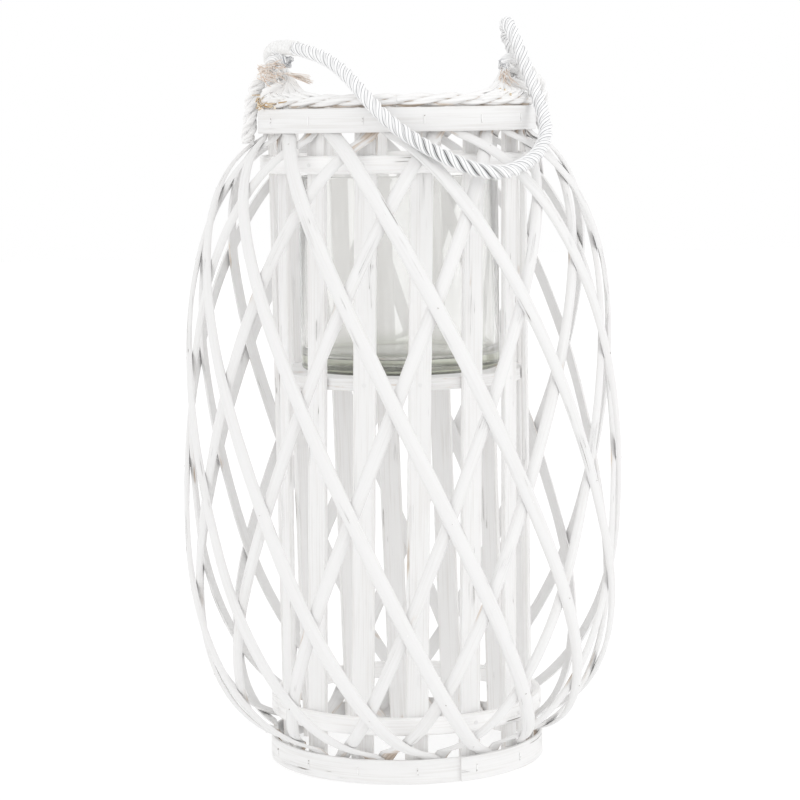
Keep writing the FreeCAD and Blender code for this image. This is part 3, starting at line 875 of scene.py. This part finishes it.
# Painted light: the hoops' paint is set nearly full white, because they stand in shade inside the lattice.
hoop_wash = white_wash("painted_hoop", 6.6 * MM, 0.97, fibre=700.0)
for node, seed in (("upper_hoop", 12.4), ("lower_hoop", 15.8)):
    low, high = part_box(node)
    path = bent_round(HOOP_INNER, (low.z + high.z) / 2, HOOP_ANGLES, 1.0)
    wide = high.z - low.z
    hoop = stock(f"bent_{node}", "square", wide, HOOP_THICKNESS, path.length, (90, 1), ease=HOOP_EDGE)
    dress(path.lay(hoop, seed), [node], hoop_wash)
print("bands and hoops laid")

# %% [markdown]
# ## Plaited rim
# The rim is a loose rope of three willow skeins, of four strips each, twisted round the top of the
# slats. The brush never reached into it or under it, so brown shows there and along the band. A
# twisted texture would leave the outline smooth, so every strip is laid for itself.

# %% Plaited rim
SKEINS = 3
SKEIN_REACH = 1.45 * MM
RIM_RADIUS = 97.5 * MM
RIM_HEIGHT = 495.4 * MM
RIM_REACH = 2.6 * MM
RIM_TURNS = 9
RIM_SKEIN_TURNS = 15
RIM_STRIPS = 4
RIM_STATIONS = 361
RIM_PAINTED_FROM = 4 * MM
RIM_SHADED_TO = 493.3 * MM
MARK_FADE = 1.2 * MM


def skein_paths(core, reach, turns, skein_turns, strips):
    """Paths of a rope's strips: each strip winds round its skein, and each skein round the core."""
    paths = []
    for count in range(SKEINS):
        skein = strand_path(core, reach, core.length / turns, 2 * math.pi * count / SKEINS)
        for strip in range(strips):
            phase = 2 * math.pi * strip / strips + count
            paths.append(strand_path(skein, SKEIN_REACH, skein.length / skein_turns, phase))
    return paths


def mark_rim(piece):
    """Marks as missed what lies deep in the rim or low behind the band."""
    places = points_of(piece.data)
    aside = np.hypot(places[:, 0], places[:, 1]) - RIM_RADIUS
    deep = RIM_PAINTED_FROM - np.hypot(aside, places[:, 2] - RIM_HEIGHT)
    low = RIM_SHADED_TO - places[:, 2]
    values = np.clip(np.maximum(deep, low) / MARK_FADE, 0, 1)
    piece.data.attributes["missed"].data.foreach_set("value", values.astype(np.float32))


plait_wash = white_wash("willow_plait", 1.6 * MM, 0.87, wear=0.07, fibre=1300.0)
willow = stock("willow", "round", 3.1 * MM, 2.6 * MM, 1.0, (90, 3), 8)
angles = np.linspace(0, 360, RIM_STATIONS)
rim_places = outward(angles) * RIM_RADIUS + UP * RIM_HEIGHT
rim_core = Path(rim_places, outward(angles), np.tile(UP, (RIM_STATIONS, 1)))
rim_strips = skein_paths(rim_core, RIM_REACH, RIM_TURNS, RIM_SKEIN_TURNS, RIM_STRIPS)
plait = bundle("willow_rim", willow, rim_strips, 21.0)
mark_rim(plait)
dress(plait, ["rim_plait"], plait_wash)
print("rim strips", len(rim_strips))

# %% [markdown]
# ## Rope ears
# Each ear is bark rope that stands on the outside of the top band, goes over the rim and comes down
# inside the slats. Flat willow strips fan out from its crown along the rim in front of it, and some wrap
# its front under the cord. Behind it there are none, so that the raised handle has room there. All
# follow NURBS routes of a few places, as the cord does. Places in this step and the next are in
# millimetres, and in this one those at the left are mirrored.

# %% Rope ears
EAR_REACH = 2.9 * MM
EAR_TURNS = 3
EAR_STRIPS = 3
EAR_SHOULDERS = {
    "left": [(112.5, 466.5), (110.2, 477), (109.6, 489), (107.5, 500), (103.5, 509.5)],
    "right": [(109.5, 474), (109.5, 482), (109.5, 491), (108.5, 502), (104, 511)],
}
EAR_CROWN = [(97.5, 516.5), (90, 518.2), (82.5, 517), (82.4, 506), (84, 492), (86, 478)]
FAN_ANGLES = (13.0, 19.0, 25.0, 31.0, 38.0, 46.0)
FAN_WIDTH = 5.4 * MM
FAN_THICKNESS = 2.6 * MM
FAN_SCALES = (1.1, 0.8)
FAN_RIDGES = 7
FAN_RIDGE_DEPTH = 0.05
NEAR_NECK = [(81.5, -2, 517), (81, -9.5, 512)]
FAR_NECK = [(79.5, -2, 517), (78.5, -15.5, 513.5)]
WRAP_STRIPS = 4
HIGH_WRAP = [(79.5, -6, 513), (81.5, -15.5, 511), (90, -20.5, 508.5), (98, -20, 505), (101.5, -16, 498.5)]
LOW_WRAP = [(79.5, -6, 511), (83, -17.5, 507.5), (91, -22, 505), (98, -22, 502.5), (101.5, -19, 498.5)]


def part_way(first, second, share, side):
    """A route part of the way from one route to another, at the right or mirrored to the left."""
    return list(((1 - share) * np.array(first) + share * np.array(second)) * (side, 1, 1))


def on_rim(side, angle, reach, z):
    """A place near the rim, an angle from the ear towards the front."""
    turn = math.radians(angle)
    return (side * reach * math.cos(turn), -reach * math.sin(turn), z)


def fan_route(side, angle):
    """A willow strip's control points: from the crown's inner end, down, and along the rim."""
    spread = (angle - FAN_ANGLES[0]) / (FAN_ANGLES[-1] - FAN_ANGLES[0])
    stops = [(0.62 * angle + 2, 87 - 4 * spread, 504.5), (angle, 96, 501.6)]
    stops += [(angle + 9, 98.5, 500), (angle + 16, 98.5, 496)]
    return part_way(NEAR_NECK, FAR_NECK, spread, side) + [on_rim(side, *stop) for stop in stops]


def fan_paths(side):
    """The strips from an ear's crown to the rim: those along it, then those that wrap the front."""
    routes = [fan_route(side, angle) for angle in FAN_ANGLES]
    routes += [part_way(HIGH_WRAP, LOW_WRAP, share, side) for share in np.linspace(0, 1, WRAP_STRIPS)]
    return [tapered(route_path(route), *FAN_SCALES) for route in routes]


# %% Ears in place
bark = white_wash("bark_rope", 2.6 * MM, 0.90, cracks=0.02, fibre=1500.0)
for side, name in ((-1, "left"), (1, "right")):
    core = route_path([(side * x, 0.0, z) for x, z in EAR_SHOULDERS[name] + EAR_CROWN])
    twist = stock(f"{name}_twist", "round", 3.4 * MM, 3 * MM, 1.0, (80, 1), 8)
    leg_strips = skein_paths(core, EAR_REACH, EAR_TURNS, EAR_TURNS, EAR_STRIPS)
    leg = bundle(f"{name}_leg", twist, leg_strips, 27.0)
    strip = stock(f"{name}_strip", "round", FAN_WIDTH, FAN_THICKNESS, 1.0, (40,), 14)
    fan = bundle(f"{name}_fan", ridged(strip, FAN_RIDGES, FAN_RIDGE_DEPTH), fan_paths(side), 31.0)
    dress(joined(f"{name}_bark_rope", [fan, leg]), [f"{name}_ear"], bark)
print("ears bound")

# %% [markdown]
# ## Frayed fibres
# Brown and cream fibres stick out of the left ear where its strips were cut: a mat in front of the
# crown and a flat brush that points to the right. A few pale hairs hang over the right fan, and short
# cut stubs stick out beside both ears and along the band. Each is a bent hair between two places, drawn
# from a seeded list of random numbers so that every run is the same.

# %% Frayed fibres
SWING_HEIGHT = 517.9
WISP_TAPER = (1.0, 0.55)
WISP_STATIONS = 9
MAT_ACROSS = (-103, -88)
MAT_RISE = (-12, 19)
MAT_REACH = (19.5, 21.5)
MAT_SWING = (-15, 30)
MAT_LENGTH = (6, 11)
BRUSH_ROOT = (-80.5, -22, 517)
BRUSH_TIP = (-62.5, -46.5, 511)
RIGHT_HAIR_ROOT = (81.5, -21, 514)
RIGHT_HAIR_TIP = (81.5, -33, 505)
LEFT_STUBS = (-102.5, -20.5, 497.5)
RIGHT_STUBS = (80, -57, 501.5)
EDGE_ANGLES = (-78, -52)
EDGE_RADIUS = 106
EDGE_HEIGHTS = (491, 495.5)

draw = np.random.default_rng(11)


def scattered(middle, spread, count):
    """Random places round a middle."""
    return np.array(middle) + draw.normal(0, 1, (count, 3)) * spread


def wisp_paths(starts, ends, bow):
    """Bent hairs between pairs of places, thinner at their tips."""
    paths = []
    share = np.linspace(0, 1, WISP_STATIONS)[:, None]
    for start, end in zip(starts, ends):
        middle = (start + end) / 2 + draw.normal(0, bow, 3)
        points = (1 - share) ** 2 * start + 2 * share * (1 - share) * middle + share ** 2 * end
        paths.append(tapered(carried(points * MM), *WISP_TAPER))
    return paths


def mat_paths(count):
    """Hairs that lie across the front of the left crown, clear of what turns on it."""
    across = draw.uniform(*MAT_ACROSS, count)
    rise = np.radians(draw.uniform(*MAT_RISE, count))
    reach = draw.uniform(*MAT_REACH, count)
    starts = np.stack([across, -reach * np.cos(rise), SWING_HEIGHT + reach * np.sin(rise)], 1)
    swing = np.radians(draw.normal(*MAT_SWING, count))
    length = draw.uniform(*MAT_LENGTH, count)
    forward = draw.normal(-0.5, 1.0, count)
    ends = starts + np.stack([length * np.cos(swing), forward, length * np.sin(swing)], 1)
    return wisp_paths(starts, ends, 1.6)


def tuft_paths(root, root_spread, tip, tip_spread, bow, count):
    """Hairs from about a root to about a tip."""
    return wisp_paths(scattered(root, root_spread, count), scattered(tip, tip_spread, count), bow)


def stub_paths(root, count):
    """Short cut stubs round a root."""
    starts = scattered(root, (1.7, 0.8, 1.9), count)
    ends = starts + scattered((0.5, -3.0, -0.5), (1.9, 1.2, 1.7), count)
    return wisp_paths(starts, ends, 0.5)


def edge_paths(count):
    """Frayed bits along the top of the band, in front of the left ear."""
    turn = np.radians(draw.uniform(*EDGE_ANGLES, count))
    heights = draw.uniform(*EDGE_HEIGHTS, count)
    starts = np.stack([EDGE_RADIUS * np.sin(turn), -EDGE_RADIUS * np.cos(turn), heights], 1)
    ends = starts + scattered((2.5, -2.5, 0.0), (2.5, 1.5, 1.2), count)
    return wisp_paths(starts, ends, 0.5)


# %% Fibres in place
def fibre_finish(name, pale, dark):
    finish = Finish(name)
    hair = finish.noise(finish.grain(), (900, 900, 11))
    colour = finish.mix(hair.over(0.36, 0.64), pale, dark)
    finish.set(Base_Color=colour, Roughness=0.6 + 0.2 * hair)
    finish.set(Normal=finish.bump(hair, 0.3 * MM))
    return finish.material


raffia = fibre_finish("raffia", (0.92, 0.89, 0.85), (0.70, 0.56, 0.46))
straw = stock("hair", "round", 0.8 * MM, 0.45 * MM, 1.0, (8,), 6)
hairs = mat_paths(70)
hairs += tuft_paths(BRUSH_ROOT, (1.2, 0.4, 0.4), BRUSH_TIP, (1.2, 0.8, 1.8), 0.7, 30)
hairs += tuft_paths(RIGHT_HAIR_ROOT, (2.0, 1.0, 3.0), RIGHT_HAIR_TIP, (4.0, 1.5, 2.5), 1.5, 16)
mat = bundle("left_fibre_mat", straw, hairs, 41.0)
dress(mat, [], raffia)
cut_willow = fibre_finish("cut_willow", (0.84, 0.74, 0.58), (0.42, 0.26, 0.11))
stub_rod = stock("stub", "round", 1.6 * MM, 1.2 * MM, 1.0, (6,), 8)
cut_ends = stub_paths(LEFT_STUBS, 16) + stub_paths(RIGHT_STUBS, 5) + edge_paths(14)
stubs = bundle("cut_stubs", stub_rod, cut_ends, 47.0)
dress(stubs, [], cut_willow)
print("fibres", len(mat.data.polygons) + len(stubs.data.polygons), "faces")

# %% [markdown]
# ## Glass
# The candle glass is a plain thick-bottomed cylinder. A cylinder is inset and hollowed, and its heel,
# lip and floor are rounded with bevels, as the fire and the mould leave them.

# %% Glass
GLASS_RADIUS = 75 * MM
GLASS_WALL = 3.5 * MM
GLASS_BASE = 11 * MM
GLASS_HEEL = 4 * MM
GLASS_FLOOR_ROUND = 8 * MM
GLASS_LIP = 0.48 * GLASS_WALL
GLASS_SIDES = 160
GLASS_SMOOTH = math.radians(40)
CLEAR_GLASS = (0.975, 0.975, 0.966)
DUSTY_GLASS = (0.94, 0.94, 0.93)
THICK_GLASS = (0.50, 0.52, 0.42)
PAINTED_HEEL_SHADE = (0.10, 0.11, 0.08)


def round_rings(piece, test, offset, segments):
    """Bevels the level edges that pass a test on their radius and height."""
    def chosen(start, end):
        return abs(start.z - end.z) < 1e-6 and test(math.hypot(start.x, start.y), start.z)

    pick_edges(piece, chosen)
    edit(bpy.ops.mesh.bevel, offset=offset, segments=segments)


def candle_glass():
    low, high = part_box("glass_cylinder")
    tall = high.z - low.z
    floor = low.z + GLASS_BASE
    bpy.ops.object.select_all(action="DESELECT")
    bpy.ops.mesh.primitive_cylinder_add(
        vertices=GLASS_SIDES, radius=GLASS_RADIUS, depth=tall, location=(0, 0, low.z + tall / 2))
    piece = bpy.context.object
    piece.name = "candle_glass"
    bpy.ops.object.transform_apply(location=True, rotation=True, scale=True)
    clear_picks(piece.data)
    for face in piece.data.polygons:
        face.select = face.normal.z > 0.9
    bpy.context.tool_settings.mesh_select_mode = (False, False, True)
    edit(bpy.ops.mesh.inset, thickness=GLASS_WALL)
    edit(bpy.ops.mesh.extrude_region_move, TRANSFORM_OT_translate={"value": (0, 0, GLASS_BASE - tall)})
    round_rings(piece, lambda r, z: z < low.z + MM and r > GLASS_RADIUS - MM, GLASS_HEEL, 6)
    round_rings(piece, lambda r, z: abs(z - floor) < MM and r < GLASS_RADIUS - MM, GLASS_FLOOR_ROUND, 8)
    round_rings(piece, lambda r, z: z > high.z - MM, GLASS_LIP, 4)
    bpy.ops.object.shade_smooth_by_angle(angle=GLASS_SMOOTH)
    return piece


# %% Clear glass
def glass_finish():
    """Clear in the wall with a thin film of dust, greener and darker in the thick base, and with painted
    shade at the heel: a dark ring that stands in for the dark line its refraction shows.
    """
    finish = Finish("clear_glass")
    places = finish.places()
    low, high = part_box("glass_cylinder")
    rise = finish.axis(places, "Z")
    film = finish.noise(places, (30, 30, 9))
    colour = finish.mix(film.over(0.35, 0.65), DUSTY_GLASS, CLEAR_GLASS)
    colour = finish.mix(rise.over(low.z, low.z + 2.2 * GLASS_BASE), THICK_GLASS, colour)
    # Painted shade: a dark ring at the heel stands in for the dark line its refraction shows.
    heel = 1.0 - rise.over(low.z + 1.5 * MM, low.z + 4 * MM)
    colour = finish.mix(heel * 0.9, colour, PAINTED_HEEL_SHADE)
    finish.set(Base_Color=colour, Roughness=0.02 + 0.03 * film, IOR=1.46, Transmission_Weight=0.88)
    return finish.material


glass = dress(candle_glass(), ["glass_cylinder"], glass_finish(), "glass")
glass.visible_shadow = False
glass.visible_diffuse = False
print("glass", len(glass.data.polygons), "faces")

# %% [markdown]
# ## Shelf and wire
# The shelf is a round of layered board, and its sawn edge shows the layers. Staples, nails and pins
# are dull steel wire. Their shapes in the frame are right, so they only need a finish.

# %% Shelf and wire
BOARD_WHITE = 0.87
WIRE_WHITE = 0.86
DULL_STEEL = (0.42, 0.40, 0.38)


def board_finish():
    finish = Finish("painted_board")
    places = finish.places()
    ply = finish.noise(places, (30, 30, 900))
    cloud = finish.noise(places, (60, 60, 200), 3.0)
    thin = ply.over(0.42, 0.6) * 0.7
    colour = finish.mix(thin, shaded(PAINT, BOARD_WHITE), shaded(THIN_PAINT, BOARD_WHITE))
    colour = finish.mix((ply * 0.5 + cloud * 0.5).over(0.58, 0.68) * 0.8, colour, PALE_WOOD)
    finish.set(Base_Color=colour, Roughness=0.7 + 0.1 * ply)
    finish.set(Normal=finish.bump(ply * 0.6 + cloud * 0.4, 0.8 * MM))
    return finish.material


def wire_finish(name, painted):
    """Steel under the same white-wash; the more it is painted, the less it has worn through."""
    finish = Finish(name)
    dull = finish.noise(finish.places(), (500, 500, 500))
    worn = dull.over(painted, painted + 0.18)
    colour = finish.mix(worn, shaded(PAINT, WIRE_WHITE), DULL_STEEL)
    finish.set(Base_Color=colour, Metallic=worn * 0.8, Roughness=0.45 + 0.25 * dull)
    return finish.material


def repaint(nodes, finish):
    """Gives the frame's own meshes a finish."""
    for node in nodes:
        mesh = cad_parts[node].data
        mesh.materials.clear()
        mesh.materials.append(finish)


repaint(["shelf_disc"], board_finish())
repaint(["base_staples", "top_staples", "crossing_pins"], wire_finish("steel_wire", 0.5))
repaint(["hoop_nails", "shelf_nails"], wire_finish("painted_nail", 0.7))
print("materials", len(bpy.data.materials))

# %% [markdown]
# ## Studio
# The lantern stands on a white light table in a white room, so almost nothing has a shadow. Two wide
# soft suns, from the front right and the front left, shape the canes a little.

# %% Studio
FLOOR_SIZE = 14.0
FLOOR_DROP = 0.5 * MM
FLOOR_GREY = (0.4, 0.4, 0.4)
FLOOR_GLOW = 0.62
WHITE = (1.0, 1.0, 1.0)

bpy.ops.object.select_all(action="DESELECT")
bpy.ops.mesh.primitive_plane_add(size=FLOOR_SIZE, location=(0, 0, -FLOOR_DROP))
floor = bpy.context.object
floor.name = "studio_floor"
floor_finish = Finish("studio_floor")
floor_finish.set(Base_Color=FLOOR_GREY, Roughness=0.9)
floor_finish.set(Emission_Color=WHITE, Emission_Strength=FLOOR_GLOW)
floor.data.materials.append(floor_finish.material)

world = bpy.data.worlds.new("white_room")
world.use_nodes = True
background = world.node_tree.nodes["Background"]
background.inputs["Color"].default_value = (*WHITE, 1.0)
background.inputs["Strength"].default_value = 1.0
bpy.context.scene.world = world
bpy.context.scene.view_settings.view_transform = "Standard"


def sun(name, place, strength, spread):
    """A sun that shines from a place towards the lantern; spread is how wide it looks, in degrees."""
    light = bpy.data.lights.new(name, "SUN")
    light.energy = strength
    light.angle = math.radians(spread)
    holder = bpy.data.objects.new(name, light)
    bpy.context.scene.collection.objects.link(holder)
    holder.rotation_euler = Vector(place).to_track_quat("Z", "Y").to_euler()


sun("key", (2.2, -1.1, 0.8), 0.50, 50.0)
sun("fill", (-1.7, -1.5, 0.7), 0.32, 60.0)
print("suns", len(bpy.data.lights))

# %% [markdown]
# ## Update
# The view layer is brought up to date at the end. The dressed lantern may stand only a little
# proud of the frame.

# %% Update
bpy.context.view_layer.update()
